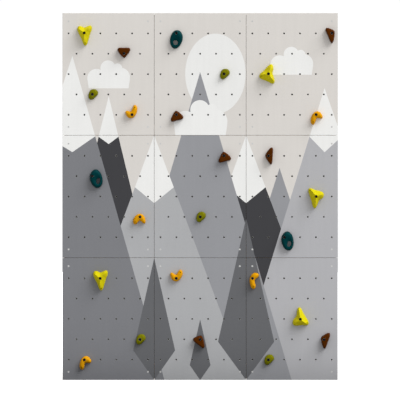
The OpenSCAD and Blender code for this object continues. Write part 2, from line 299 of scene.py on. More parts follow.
def drilled_board(name, corner, far_corner, holes, ease, materials, mural=()):
    """A board in the XZ plane with eased edges. Each hole is (x, z, steps), where the steps are its
    (radius, depth) from the front face to the back face. The materials are those of the front, the
    edge, the back and the inside of the holes."""
    middle = np.array([(corner.x + far_corner.x) / 2, (corner.z + far_corner.z) / 2])
    half = np.array([(far_corner.x - corner.x) / 2, (far_corner.z - corner.z) / 2])
    thickness = far_corner.y - corner.y
    hole_places = np.array([(x, z) for x, z, _ in holes])

    def solid_at(step, edge):
        """Picks the triangles within the board's edge and outside its holes, at that step of the holes."""
        radii = np.array([steps[step][0] for _, _, steps in holes]) * math.cos(math.pi / HOLE_SIDES)

        def keep(middles):
            within_edge = (np.abs(middles - middle) < half - edge).all(axis=1)
            away = np.linalg.norm(middles[:, None] - hole_places[None], axis=2) > radii
            return within_edge & away.all(axis=1)
        return keep

    flat_points, loops = stacked(face_outlines(middle, half, ease, holes, mural))
    flat, faces, _ = triangulate(flat_points, loops, solid_at(0, ease))
    used = sorted(set(faces.ravel().tolist()))
    number = {v: i for i, v in enumerate(used)}
    points = [(flat[v][0], corner.y, flat[v][1]) for v in used]
    faces = np.array([[number[v] for v in f] for f in faces.tolist()])
    middles = np.array([[points[v][::2] for v in f] for f in faces.tolist()]).mean(axis=1)
    face_paints = paints_at(middles, mural)
    all_faces, slots, paints = faces.tolist(), [FRONT] * len(faces), face_paints.tolist()
    front_loops, owner = rims(faces)
    back_loops = []
    for loop in front_loops:
        at = np.array([points[v][::2] for v in loop])
        outer = np.abs(at - middle).max() > min(half) * 0.9 and np.ptp(at, axis=0).max() > min(half)
        if outer:
            rings = edge_rings(at, middle, half, ease, thickness)
        else:
            nearest = np.linalg.norm(hole_places - at.mean(axis=0), axis=1).argmin()
            rings = hole_rings(at, hole_places[nearest], holes[nearest][2])
        before = loop
        for ring, depth, slot in rings:
            now = list(range(len(points), len(points) + len(loop)))
            points += [(x, corner.y + depth, z) for x, z in ring]
            for i in range(len(loop)):
                j = (i + 1) % len(loop)
                all_faces.append([before[j], before[i], now[i], now[j]])
                slots.append(slot)
                paints.append(face_paints[owner[loop[i], loop[j]]].tolist())
            before = now
        back_loops.append(before)
    back = [v for loop in back_loops for v in loop]
    back_points, loops = stacked([[points[v][::2] for v in loop] for loop in back_loops])
    _, faces, sources = triangulate(back_points, loops, solid_at(-1, ease * 0.999))
    for face in faces.tolist():
        all_faces.append([back[sources[v][0]] for v in reversed(face)])
        slots.append(BACK)
        paints.append(SKY)
    return new_piece(name, points, all_faces, materials, slots, paints, BOARD_CREASE)


def add(tree, kind, inputs=(), **settings):
    """A new node with its settings and inputs. An input that is given a socket is linked to it."""
    made = tree.nodes.new(kind)
    for key, value in settings.items():
        setattr(made, key, value)
    for key, value in dict(inputs).items():
        if isinstance(value, bpy.types.NodeSocket):
            tree.links.new(value, made.inputs[key])
        else:
            made.inputs[key].default_value = value
    return made


def maths(tree, operation, *values):
    return add(tree, "ShaderNodeMath", enumerate(values), operation=operation).outputs[0]


def vector_of(tree, **parts):
    return add(tree, "ShaderNodeCombineXYZ", parts).outputs[0]


def scaled(tree, vector, by):
    return add(tree, "ShaderNodeVectorMath", {0: vector, 1: by}, operation="MULTIPLY").outputs[0]


def new_group(name, kind, inputs, outputs):
    """A node group with named sockets: inputs as (name, type, default) and outputs as (name, type)."""
    group = bpy.data.node_groups.new(name, kind)
    for label, socket, default in inputs:
        made = group.interface.new_socket(label, in_out="INPUT", socket_type="NodeSocket" + socket)
        if default is not None:
            made.default_value = default
    for label, socket in outputs:
        group.interface.new_socket(label, in_out="OUTPUT", socket_type="NodeSocket" + socket)
    return group, group.nodes.new("NodeGroupInput").outputs, group.nodes.new("NodeGroupOutput").inputs


def noise_on(tree, vector, scale, detail=3.0, roughness=0.5, distortion=0.0):
    return add(tree, "ShaderNodeTexNoise", {
        "Vector": vector, "Scale": scale, "Detail": detail, "Roughness": roughness, "Distortion": distortion,
    }).outputs["Fac"]


def between(tree, value, low, high, to_low=0.0, to_high=1.0):
    return add(tree, "ShaderNodeMapRange", {
        "Value": value, "From Min": low, "From Max": high, "To Min": to_low, "To Max": to_high,
    }).outputs["Result"]


def blend_colours(tree, share, first, second, mode="MIX"):
    return add(tree, "ShaderNodeMix", {0: share, 6: first, 7: second},
               data_type="RGBA", blend_type=mode, clamp_factor=True).outputs[2]


def bump(tree, height, distance):
    return add(tree, "ShaderNodeBump", {"Height": height, "Distance": distance}).outputs["Normal"]


def new_finish(name, **constants):
    """A material with a Principled shader, whose plain numbers are set on its own sockets."""
    material = bpy.data.materials.new(name)
    material.use_nodes = True
    tree = material.node_tree
    shader = tree.nodes["Principled BSDF"]
    for key, value in constants.items():
        shader.inputs[key.replace("_", " ")].default_value = value
    return material, tree, shader.inputs, add(tree, "ShaderNodeTexCoord").outputs["Object"]


# Wood grain that runs along the vector's Z: broad streaks, and fine pores drawn out along them
wood_grain, given, out = new_group(
    "wood grain", "ShaderNodeTree",
    [("Vector", "Vector", None), ("Streaks per metre", "Float", 45.0), ("Stretch", "Float", 0.06)],
    [("Streaks", "Float"), ("Pores", "Float")])
along = scaled(wood_grain, given["Vector"], vector_of(wood_grain, X=1.0, Y=1.0, Z=given["Stretch"]))
wood_grain.links.new(noise_on(wood_grain, along, given["Streaks per metre"], 5.0, 0.6, 0.4), out["Streaks"])
pore_scale = maths(wood_grain, "MULTIPLY", given["Streaks per metre"], 22.0)
pore_noise = noise_on(wood_grain, along, pore_scale, 2.0)
wood_grain.links.new(between(wood_grain, pore_noise, 0.52, 0.7), out["Pores"])


def grain_of(tree, vector, streaks, stretch):
    used = add(tree, "ShaderNodeGroup", node_tree=wood_grain)
    for key, value in {"Streaks per metre": streaks, "Stretch": stretch}.items():
        used.inputs[key].default_value = value
    tree.links.new(vector, used.inputs["Vector"])
    return used.outputs["Streaks"], used.outputs["Pores"]


# Matt wall paint, rolled on: the plywood's grain just shows through it
painted_front, tree, shader, place = new_finish("painted front", Specular_IOR_Level=0.1)
streaks, pores = grain_of(tree, place, 38.0, 0.05)
mottle = noise_on(tree, place, 7.0, 4.0)
tone = maths(tree, "ADD", between(tree, mottle, 0.3, 0.7, 0.985, 1.0),
             between(tree, streaks, 0.35, 0.65, -0.008, 0.012))
shade = add(tree, "ShaderNodeCombineColor", {0: tone, 1: tone, 2: tone}).outputs[0]
mural_paint = add(tree, "ShaderNodeVertexColor", layer_name="paint").outputs["Color"]
tree.links.new(blend_colours(tree, 1.0, mural_paint, shade, "MULTIPLY"), shader["Base Color"])
tree.links.new(between(tree, noise_on(tree, place, 60.0), 0.3, 0.7, 0.56, 0.68), shader["Roughness"])
stipple = noise_on(tree, place, 700.0, 2.0, 0.6)
relief = maths(tree, "ADD", maths(tree, "MULTIPLY", stipple, 0.6), maths(tree, "MULTIPLY", pores, -0.5))
tree.links.new(bump(tree, relief, 0.06 * MM), shader["Normal"])

# The bare back veneer, sanded and sealed, with its grain running up the wall
bare_birch, tree, shader, place = new_finish("bare birch", Specular_IOR_Level=0.3)
streaks, pores = grain_of(tree, place, 26.0, 0.07)
flow = between(tree, streaks, 0.3, 0.7)
veneer = blend_colours(tree, flow, (0.60, 0.43, 0.26, 1), (0.72, 0.56, 0.37, 1))
pore_share = maths(tree, "MULTIPLY", pores, 0.35)
tree.links.new(blend_colours(tree, pore_share, veneer, (0.36, 0.22, 0.11, 1)), shader["Base Color"])
tree.links.new(between(tree, flow, 0, 1, 0.5, 0.62), shader["Roughness"])
tree.links.new(bump(tree, pores, -0.1 * MM), shader["Normal"])

# The sawn edge of the plywood: veneers of side grain and end grain by turns, with dark glue lines
ply_edge, tree, shader, place = new_finish("plywood edge", Roughness=0.7, Specular_IOR_Level=0.25)
across = add(tree, "ShaderNodeSeparateXYZ", {0: place}).outputs["Y"]
ply = maths(tree, "MULTIPLY", maths(tree, "SUBTRACT", across, front_y), PLIES / panel_t)
wavy = maths(tree, "ADD", ply, between(tree, noise_on(tree, place, 25.0), 0.3, 0.7, -0.08, 0.08))
end_grain = maths(tree, "GREATER_THAN", maths(tree, "MODULO", wavy, 2.0), 1.0)
glue = maths(tree, "LESS_THAN", maths(tree, "FRACT", wavy), 0.14)
veneer = blend_colours(tree, end_grain, (0.66, 0.50, 0.32, 1), (0.45, 0.30, 0.17, 1))
fleck = between(tree, noise_on(tree, place, 420.0, 2.0), 0.35, 0.7)
flecked = blend_colours(tree, maths(tree, "MULTIPLY", fleck, 0.35), veneer, (0.3, 0.19, 0.1, 1))
tree.links.new(blend_colours(tree, glue, flecked, (0.16, 0.09, 0.05, 1)), shader["Base Color"])
tree.links.new(bump(tree, maths(tree, "SUBTRACT", fleck, glue), 0.12 * MM), shader["Normal"])

# Near-black for the walls of the drilled holes, with a little mottle: painted shade, so that the holes read
# dark from the front
shaded_hole_walls, tree, shader, place = new_finish("shaded hole walls", Specular_IOR_Level=0.3)
hole_mottle = noise_on(tree, place, 350.0, 3.0)
hole_shade_colour = blend_colours(tree, hole_mottle, (0.035, 0.034, 0.034, 1), (0.075, 0.072, 0.07, 1))
tree.links.new(hole_shade_colour, shader["Base Color"])
tree.links.new(between(tree, hole_mottle, 0.3, 0.7, 0.5, 0.75), shader["Roughness"])
tree.links.new(bump(tree, hole_mottle, 0.1 * MM), shader["Normal"])


def insert_places(x, z):
    """The holes of the panel whose middle is at x, z: rows of six, and rows of five set half a step in."""
    places = []
    for row in range(INSERT_ROWS):
        number = INSERTS_IN_LONG_ROW - row % 2
        places += [(x + (i - (number - 1) / 2) * insert_pitch,
                    z + panel_h / 2 - (row + 1) * insert_row_pitch) for i in range(number)]
    return places


insert_hole = [(INSERT_HOLE_R + INSERT_HOLE_BREAK, 0), (INSERT_HOLE_R, INSERT_HOLE_BREAK),
               (INSERT_HOLE_R, panel_t)]
screw_hole = [(COUNTERSINK_R, 0), (SCREW_HOLE_R, COUNTERSINK_DEPTH), (SCREW_HOLE_R, panel_t)]
for row in PANEL_ROWS:
    for col in PANEL_COLS:
        low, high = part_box(f"panel_{row}_{col}")
        x, z = (low.x + high.x) / 2, (low.z + high.z) / 2
        screws = [(x + side * (panel_w / 2 - SCREW_FROM_SIDE), z + end * (panel_h / 2 - SCREW_FROM_END))
                  for side in (-1, 1) for end in (-1, 1)]
        panel = drilled_board(
            f"painted_panel_{row}_{col}", low, high,
            [(*p, insert_hole) for p in insert_places(x, z)] + [(*p, screw_hole) for p in screws],
            PANEL_EASE, [painted_front, ply_edge, bare_birch, shaded_hole_walls], mural)
        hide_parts(f"panel_{row}_{col}")
        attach(panel, "root")


# Rails. Planed softwood battens across the back, which hold the panels off the building's wall and
# leave room for the bolt ends. Each has four holes for the wall fixings, recessed from the front.
FIXING_R = 4.5 * MM
FIXING_RECESS_R = 11 * MM
FIXING_RECESS_DEPTH = 8 * MM
FIXING_INNER_X = 280 * MM
FIXING_FROM_END = 62 * MM
RAIL_EASE = 2.5 * MM

planed_pine, tree, shader, place = new_finish("planed pine", Specular_IOR_Level=0.3)
lengthways = add(tree, "ShaderNodeMapping", {"Vector": place, "Rotation": (0, math.pi / 2, 0)}).outputs[0]
streaks, pores = grain_of(tree, lengthways, 60.0, 0.025)
rings = between(tree, maths(tree, "FRACT", maths(tree, "MULTIPLY", streaks, 7.0)), 0.0, 0.9)
earlywood = blend_colours(tree, rings, (0.70, 0.50, 0.29, 1), (0.55, 0.34, 0.16, 1))
pore_share = maths(tree, "MULTIPLY", pores, 0.3)
tree.links.new(blend_colours(tree, pore_share, earlywood, (0.34, 0.19, 0.08, 1)), shader["Base Color"])
tree.links.new(between(tree, rings, 0, 1, 0.62, 0.5), shader["Roughness"])
relief = maths(tree, "ADD", rings, maths(tree, "MULTIPLY", pores, -0.6))
tree.links.new(bump(tree, relief, 0.1 * MM), shader["Normal"])

for name in ("rail_top", "rail_upper", "rail_lower", "rail_bottom"):
    low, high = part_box(name)
    fixing = [(FIXING_RECESS_R, 0), (FIXING_RECESS_R, FIXING_RECESS_DEPTH), (FIXING_R, FIXING_RECESS_DEPTH),
              (FIXING_R, high.y - low.y)]
    outer_x = high.x - FIXING_FROM_END
    rail = drilled_board(
        f"pine_{name}", low, high,
        [(x, (low.z + high.z) / 2, fixing) for x in (-outer_x, -FIXING_INNER_X, FIXING_INNER_X, outer_x)],
        RAIL_EASE, [planed_pine] * 4)
    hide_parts(name)
    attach(rail, "root")


# Threaded inserts. Zinc plated steel: a flange on the panel's back and a barrel pressed into the
# plywood, one at every hole. A node tree lays them out panel by panel.
FLANGE_R = 12.5 * MM
FLANGE_T = 1.5 * MM
BARREL_R = 6 * MM
BARREL_L = 11 * MM
INSERT_BORE_R = 5.1 * MM
INSERT_SIDES = 16

metal_grime, given, out = new_group(
    "metal grime", "ShaderNodeTree", [("Vector", "Vector", None), ("Scale", "Float", 300.0)],
    [("Blotches", "Float"), ("Scratches", "Float")])
blotches = noise_on(metal_grime, given["Vector"], given["Scale"], 4.0)
metal_grime.links.new(between(metal_grime, blotches, 0.35, 0.7), out["Blotches"])
brushed = scaled(metal_grime, given["Vector"], (1.0, 1.0, 14.0))
metal_grime.links.new(noise_on(metal_grime, brushed, given["Scale"], 2.0, 0.7), out["Scratches"])


def metal(name, clean, stained, roughness, metallic, scale):
    """A metal or painted metal that is a little stained and scratched all over."""
    material, tree, shader, place = new_finish(name, Metallic=metallic)
    grime = add(tree, "ShaderNodeGroup", node_tree=metal_grime)
    grime.inputs["Scale"].default_value = scale
    tree.links.new(place, grime.inputs["Vector"])
    blotches, scratches = grime.outputs["Blotches"], grime.outputs["Scratches"]
    tree.links.new(blend_colours(tree, blotches, (*clean, 1), (*stained, 1)), shader["Base Color"])
    worn = between(tree, scratches, 0.3, 0.7, roughness - 0.08, roughness + 0.1)
    tree.links.new(worn, shader["Roughness"])
    tree.links.new(bump(tree, scratches, 0.03 * MM), shader["Normal"])
    return material


zinc_plate = metal("zinc plate", (0.66, 0.66, 0.64), (0.47, 0.47, 0.45), 0.34, 1.0, 220.0)


def turned(tree, profile, sides):
    """A shape turned about Z. The profile is its (radius, height) corners, as numbers or sockets."""
    corners = add(tree, "GeometryNodeIndexSwitch", data_type="VECTOR")
    while len(corners.index_switch_items) < len(profile):
        corners.index_switch_items.new()
    index = add(tree, "GeometryNodeInputIndex").outputs[0]
    tree.links.new(maths(tree, "MODULO", index, float(len(profile))), corners.inputs["Index"])
    for i, (radius, height) in enumerate(profile):
        tree.links.new(vector_of(tree, X=radius, Z=height), corners.inputs[str(i)])
    side = maths(tree, "FLOOR", maths(tree, "DIVIDE", index, float(len(profile))))
    angle = maths(tree, "MULTIPLY", side, 2 * math.pi / sides)
    swept = add(tree, "ShaderNodeVectorRotate", {"Vector": corners.outputs[0], "Angle": angle},
                rotation_type="Z_AXIS").outputs[0]
    grid = add(tree, "GeometryNodeMeshGrid", {
        "Vertices X": sides + 1, "Vertices Y": len(profile)}).outputs["Mesh"]
    shaped = add(tree, "GeometryNodeSetPosition", {"Geometry": grid, "Position": swept}).outputs[0]
    return add(tree, "GeometryNodeMergeByDistance", {"Geometry": shaped, "Distance": 0.001 * MM}).outputs[0]


def grid_of(tree, across, up, pitch_across, pitch_up):
    """Points in rows and columns about the origin."""
    return add(tree, "GeometryNodeMeshGrid", {
        "Vertices X": across, "Vertices Y": up,
        "Size X": maths(tree, "MULTIPLY", pitch_across, across - 1.0),
        "Size Y": maths(tree, "MULTIPLY", pitch_up, up - 1.0)}).outputs["Mesh"]


def joined(tree, *parts):
    made = add(tree, "GeometryNodeJoinGeometry")
    for part in parts:
        tree.links.new(part, made.inputs[0])
    return made.outputs[0]


def on_each(tree, points, part, turn_seed=None):
    """A copy of part at every point, turned at random about its own axis if it has a seed."""
    made = add(tree, "GeometryNodeInstanceOnPoints", {"Points": points, "Instance": part})
    if turn_seed is not None:
        turn = add(tree, "FunctionNodeRandomValue", data_type="FLOAT_VECTOR")
        turn.inputs["Max"].default_value = (0, 0, 2 * math.pi)
        tree.links.new(turn_seed, turn.inputs["Seed"])
        tree.links.new(turn.outputs[0], made.inputs["Rotation"])
    return add(tree, "GeometryNodeRealizeInstances", {"Geometry": made.outputs[0]}).outputs[0]


def stand_on_wall(tree, part, out, material, y):
    """Ends a tree: its flat layout is stood up against the wall at y, with its +Z pointing at the climber."""
    upright = add(tree, "GeometryNodeTransform", {
        "Geometry": part, "Rotation": (math.pi / 2, 0, 0), "Translation": vector_of(tree, Y=y)}).outputs[0]
    finished = add(tree, "GeometryNodeSetMaterial", {"Geometry": upright, "Material": material}).outputs[0]
    tree.links.new(finished, out)


def new_layout(name, seed, sizes):
    """A geometry node tree with an input for each of these sizes, one for its seed and one for its finish."""
    return new_group(
        name, "GeometryNodeTree",
        [("Geometry", "Geometry", None)] + [(size, "Float", 0.0) for size in sizes]
        + [("Seed", "Int", seed), ("Finish", "Material", None)],
        [("Geometry", "Geometry")])


def grown(name, tree, settings, points=()):
    """Runs a geometry node tree on points with these named inputs, and keeps the result as a plain mesh."""
    base = bpy.data.meshes.new(name + " places")
    base.from_pydata(list(points), [], [])
    carrier = bpy.data.objects.new(name + " carrier", base)
    bpy.context.scene.collection.objects.link(carrier)
    modifier = carrier.modifiers.new("layout", "NODES")
    modifier.node_group = tree
    sockets = {s.name: s.identifier for s in tree.interface.items_tree if s.in_out == "INPUT"}
    for key, value in settings.items():
        modifier[sockets[key]] = value
    evaluated = carrier.evaluated_get(bpy.context.evaluated_depsgraph_get())
    mesh = bpy.data.meshes.new_from_object(evaluated)
    carrier.modifiers.remove(modifier)
    bpy.data.objects.remove(carrier)
    mesh.name = name
    mesh.polygons.foreach_set("use_smooth", [True] * len(mesh.polygons))
    mesh.set_sharp_from_angle(angle=math.radians(CREASE))
    piece = bpy.data.objects.new(name, mesh)
    bpy.context.scene.collection.objects.link(piece)
    return piece


layout, given, out = new_layout("insert layout", 4, [
    "Panel step across", "Panel step up", "Pitch", "Row pitch", "Flange radius", "Flange thickness",
    "Barrel radius", "Barrel length", "Bore radius", "Panel back"])
under = maths(layout, "MULTIPLY", given["Flange thickness"], -1.0)
insert = turned(layout, [
    (given["Bore radius"], under), (given["Flange radius"], under), (given["Flange radius"], 0.0),
    (given["Barrel radius"], 0.0), (given["Barrel radius"], given["Barrel length"]),
    (given["Bore radius"], given["Barrel length"]), (given["Bore radius"], under)], INSERT_SIDES)
twice_row = maths(layout, "MULTIPLY", given["Row pitch"], 2.0)
rows = joined(
    layout, grid_of(layout, INSERTS_IN_LONG_ROW, 3, given["Pitch"], twice_row),
    grid_of(layout, INSERTS_IN_LONG_ROW - 1, 2, given["Pitch"], twice_row))
panels = grid_of(layout, 3, 3, given["Panel step across"], given["Panel step up"])
field = on_each(layout, on_each(layout, panels, rows), insert, given["Seed"])
stand_on_wall(layout, field, out["Geometry"], given["Finish"], given["Panel back"])
inserts = grown("threaded_inserts", layout, {
    "Panel step across": step_x, "Panel step up": step_z, "Pitch": insert_pitch,
    "Row pitch": insert_row_pitch, "Flange radius": FLANGE_R, "Flange thickness": FLANGE_T,
    "Barrel radius": BARREL_R, "Barrel length": BARREL_L, "Bore radius": INSERT_BORE_R,
    "Panel back": front_y + panel_t, "Finish": zinc_plate})
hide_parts(*[f"inserts_{row}_{col}" for row in PANEL_ROWS for col in PANEL_COLS])
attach(inserts, "root")


# Panel screws. White painted countersunk wood screws with a hexagon recess, four to a panel, driven
# flush through the plywood into the rails.
SCREW_HEAD_R = 6 * MM
SCREW_HEAD_H = 3.5 * MM
SCREW_SHANK_R = 2.5 * MM
SCREW_L = 40 * MM
SCREW_TIP = 5 * MM
SCREW_SIDES = 24
SCREW_RIM = 0.25 * MM
SCREW_KEY_R = 2.5 * MM
SCREW_KEY_DEPTH = 1.75 * MM

white_enamel = metal("white enamel", (0.58, 0.58, 0.57), (0.50, 0.50, 0.49), 0.35, 0.0, 260.0)


def with_hexagon(tree, part, radius, top, depth):
    """Cuts a six-sided key socket into a turned part, from its top."""
    key = add(tree, "GeometryNodeMeshCylinder", {
        "Vertices": 6, "Radius": radius, "Depth": maths(tree, "MULTIPLY", depth, 2.0)}).outputs["Mesh"]
    raised = add(tree, "GeometryNodeTransform", {
        "Geometry": key, "Translation": vector_of(tree, Z=top)}).outputs[0]
    cut = add(tree, "GeometryNodeMeshBoolean", operation="DIFFERENCE", solver="EXACT")
    tree.links.new(part, cut.inputs["Mesh 1"])
    tree.links.new(raised, cut.inputs["Mesh 2"])
    return cut.outputs["Mesh"]


layout, given, out = new_layout("screw layout", 7, [
    "Panel step across", "Panel step up", "Screws apart across", "Screws apart up", "Head radius",
    "Shank radius", "Key radius", "Key depth", "Panel front"])
edge = maths(layout, "SUBTRACT", given["Head radius"], SCREW_RIM)
screw = turned(layout, [
    (0.0, 0.0), (edge, 0.0), (given["Head radius"], -SCREW_RIM), (given["Head radius"], -2 * SCREW_RIM),
    (given["Shank radius"], -SCREW_HEAD_H), (given["Shank radius"], -SCREW_L + SCREW_TIP),
    (0.0, -SCREW_L)], SCREW_SIDES)
screw = with_hexagon(layout, screw, given["Key radius"], 0.0, given["Key depth"])
corners = grid_of(layout, 2, 2, given["Screws apart across"], given["Screws apart up"])
panels = grid_of(layout, 3, 3, given["Panel step across"], given["Panel step up"])
field = on_each(layout, on_each(layout, panels, corners), screw, given["Seed"])
stand_on_wall(layout, field, out["Geometry"], given["Finish"], given["Panel front"])
screws = grown("white_panel_screws", layout, {
    "Panel step across": step_x, "Panel step up": step_z,
    "Screws apart across": panel_w - 2 * SCREW_FROM_SIDE, "Screws apart up": panel_h - 2 * SCREW_FROM_END,
    "Head radius": SCREW_HEAD_R, "Shank radius": SCREW_SHANK_R, "Key radius": SCREW_KEY_R,
    "Key depth": SCREW_KEY_DEPTH, "Panel front": front_y, "Finish": white_enamel})
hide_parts("panel_screws")
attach(screws, "root")


# Star holds. Three-armed yellow holds cast in resin, with a crest along every arm. All the holds are
# cast solid with a fine grit, and have a bolt hole with a round recess for the washer and bolt head.
# The sizes of the holds are in millimetres.
HOLD_RISE = 1.333
HOLD_GAP = 0.3
BOLT_HOLE_R = 6
RECESS_R = 10
RECESS_FOOT_R = 9.3
RECESS_RIM = 0.8
LOCK_SCREW_R = 3.2
LOCK_SCREW_RIM = 0.6
LOCK_SCREW_DEPTH = 12
OUTLINE_STEPS = 8
SIDE_BANDS = 14
CAP_SHARE = 0.92
FACET = 2.4
GRID_HALF_W = 90
GRID_HALF_H = 110
CLEAR_OF_RINGS = 0.5 * FACET
CREST_CLEAR_OF_RINGS = 0.35 * FACET
CREST_STEPS = 12
RECESS_SIDES = 40
LOCK_SCREW_SIDES = 16
RIM_STEPS = 4
SHOULDER_SOFTNESS = 0.16
WAVE = 0.015
WAVE_LENGTH = 17
bolt_axis = {j["child"]: Vector(j["pos_m"]) for j in frame["joints"]}


def smooth_outline(corners):
    """A closed smooth curve through the corners."""
    here = np.array(corners, float)
    before, after, beyond = (np.roll(here, n, axis=0) for n in (1, -1, -2))
    bend = 2 * before - 5 * here + 4 * after - beyond
    twist = 3 * here - before - 3 * after + beyond
    curve = [0.5 * (2 * here + (after - before) * t + bend * t ** 2 + twist * t ** 3)
             for t in np.arange(OUTLINE_STEPS) / OUTLINE_STEPS]
    return np.stack(curve, axis=1).reshape(-1, 2)


def from_lines(points, lines):
    """How far each point is from the nearest of some broken lines."""
    nearest = np.full(len(points), np.inf)
    for line in lines:
        for a, b in zip(np.array(line[:-1], float), np.array(line[1:], float)):
            along = np.clip(((points - a) @ (b - a)) / ((b - a) @ (b - a)), 0, 1)
            nearest = np.minimum(nearest, np.linalg.norm(points - a - along[:, None] * (b - a), axis=1))
    return nearest


def from_ring(points, ring):
    """How far each point is from a closed ring."""
    return from_lines(points, [np.vstack([ring, ring[:1]])])


def within(points, outer, holes):
    """Which points lie inside the outer ring and outside all the holes."""
    kept = inside(points, outer)
    for hole in holes:
        kept &= ~inside(points, hole)
    return kept


def outward(ring):
    """The unit normals that point out of a closed ring."""
    ahead = np.roll(ring, -1, axis=0) - np.roll(ring, 1, axis=0)
    out = np.stack([ahead[:, 1], -ahead[:, 0]], axis=1)
    return out / np.linalg.norm(out, axis=1)[:, None]


def face_over(outline, crown, shape, full_h, from_wall, seed):
    """The height of a hold's face over its plan: a dome from the outline up to a levelled top, less the
    shape's own fall, and a little uneven as a hand-made mould leaves it."""
    square = shape["square"]
    end = math.acos(shape["flat"] ** (square / 2))
    around = np.arctan2(*(outline - crown).T[::-1])
    reach = np.linalg.norm(outline - crown, axis=1)
    order = np.argsort(around)

    def height(points):
        rel = points - crown
        out = np.interp(np.arctan2(rel[:, 1], rel[:, 0]), around[order], reach[order], period=2 * math.pi)
        share = np.clip(np.linalg.norm(rel, axis=1) / out, 0, 1)
        rise = (np.sin(np.arccos(np.clip(share ** (square / 2), 0, 1))) / math.sin(end)) ** (2 / square)
        near_top = np.maximum(SHOULDER_SOFTNESS - np.abs(rise - 1), 0)
        rise = np.minimum(rise, 1) - near_top ** 2 / (4 * SHOULDER_SOFTNESS)
        wave = np.array([noise.noise(Vector((x / WAVE_LENGTH, y / WAVE_LENGTH, seed))) for x, y in points])
        return full_h * rise * (1 - shape["fall"](points @ from_wall)) * (1 - WAVE + WAVE * wave)

    return height


def openings_of(shape, to_wall):
    """A hold's openings, each with its ring, the width of its rounded rim, and the rings below the rim
    with their heights. A height of None stands for a blind hole's floor."""
    recess = ellipse(0, 0, RECESS_R, RECESS_R, RECESS_SIDES)
    bolt_hole = ellipse(0, 0, BOLT_HOLE_R, BOLT_HOLE_R, RECESS_SIDES)
    seat = shape["seat"]
    openings = [(recess, RECESS_RIM, [
        (recess * RECESS_FOOT_R / RECESS_R, seat), (bolt_hole, seat), (bolt_hole, 0.0)])]
    for place in shape.get("lock_screws", ()):
        at = np.array(place, float) @ to_wall
        hole = ellipse(*at, LOCK_SCREW_R, LOCK_SCREW_R, LOCK_SCREW_SIDES)
        openings.append((hole, LOCK_SCREW_RIM, [(hole, None)]))
    if "pocket" in shape:
        pocket = shape["pocket"] @ to_wall
        openings.append((pocket, shape["pocket_rim"], [(pocket, 0.0)]))
    return openings


def cap_places(shape, to_wall, edge, mouths):
    """Points in rows all over a hold's cap, clear of its edge and of its openings' mouths, with its
    crests drawn through them."""
    columns = np.arange(-GRID_HALF_W, GRID_HALF_W, FACET)
    rows = np.arange(-GRID_HALF_H, GRID_HALF_H, FACET * 0.87)
    grid = np.array([(x + (FACET / 2 if i % 2 else 0), y) for i, y in enumerate(rows) for x in columns])
    crests = []
    for line in shape.get("crests", ()):
        corners = np.array(line, float)
        shares = np.linspace(0, 1, CREST_STEPS)
        crest = [a + (b - a) * share for a, b in zip(corners, corners[1:]) for share in shares]
        crests.append(np.array(crest) @ to_wall)

    def clear(places, by):
        kept = within(places, edge, mouths)
        for ring in (edge, *mouths):
            kept &= from_ring(places, ring) > by
        return kept

    off_crests = clear(grid, CLEAR_OF_RINGS)
    for crest in crests:
        off_crests &= from_lines(grid, [crest]) > CLEAR_OF_RINGS
    return np.vstack([grid[off_crests]] + [crest[clear(crest, CREST_CLEAR_OF_RINGS)] for crest in crests])


def filled(plan, loops, numbers, outer, holes):
    """Triangles that fill a plan inside its outer ring and round its holes, by its points' numbers."""
    _, triangles, found = triangulate(plan * MM, loops, lambda m: within(m / MM, outer, holes))
    return [[numbers[found[v][0]] for v in face] for face in triangles.tolist()]


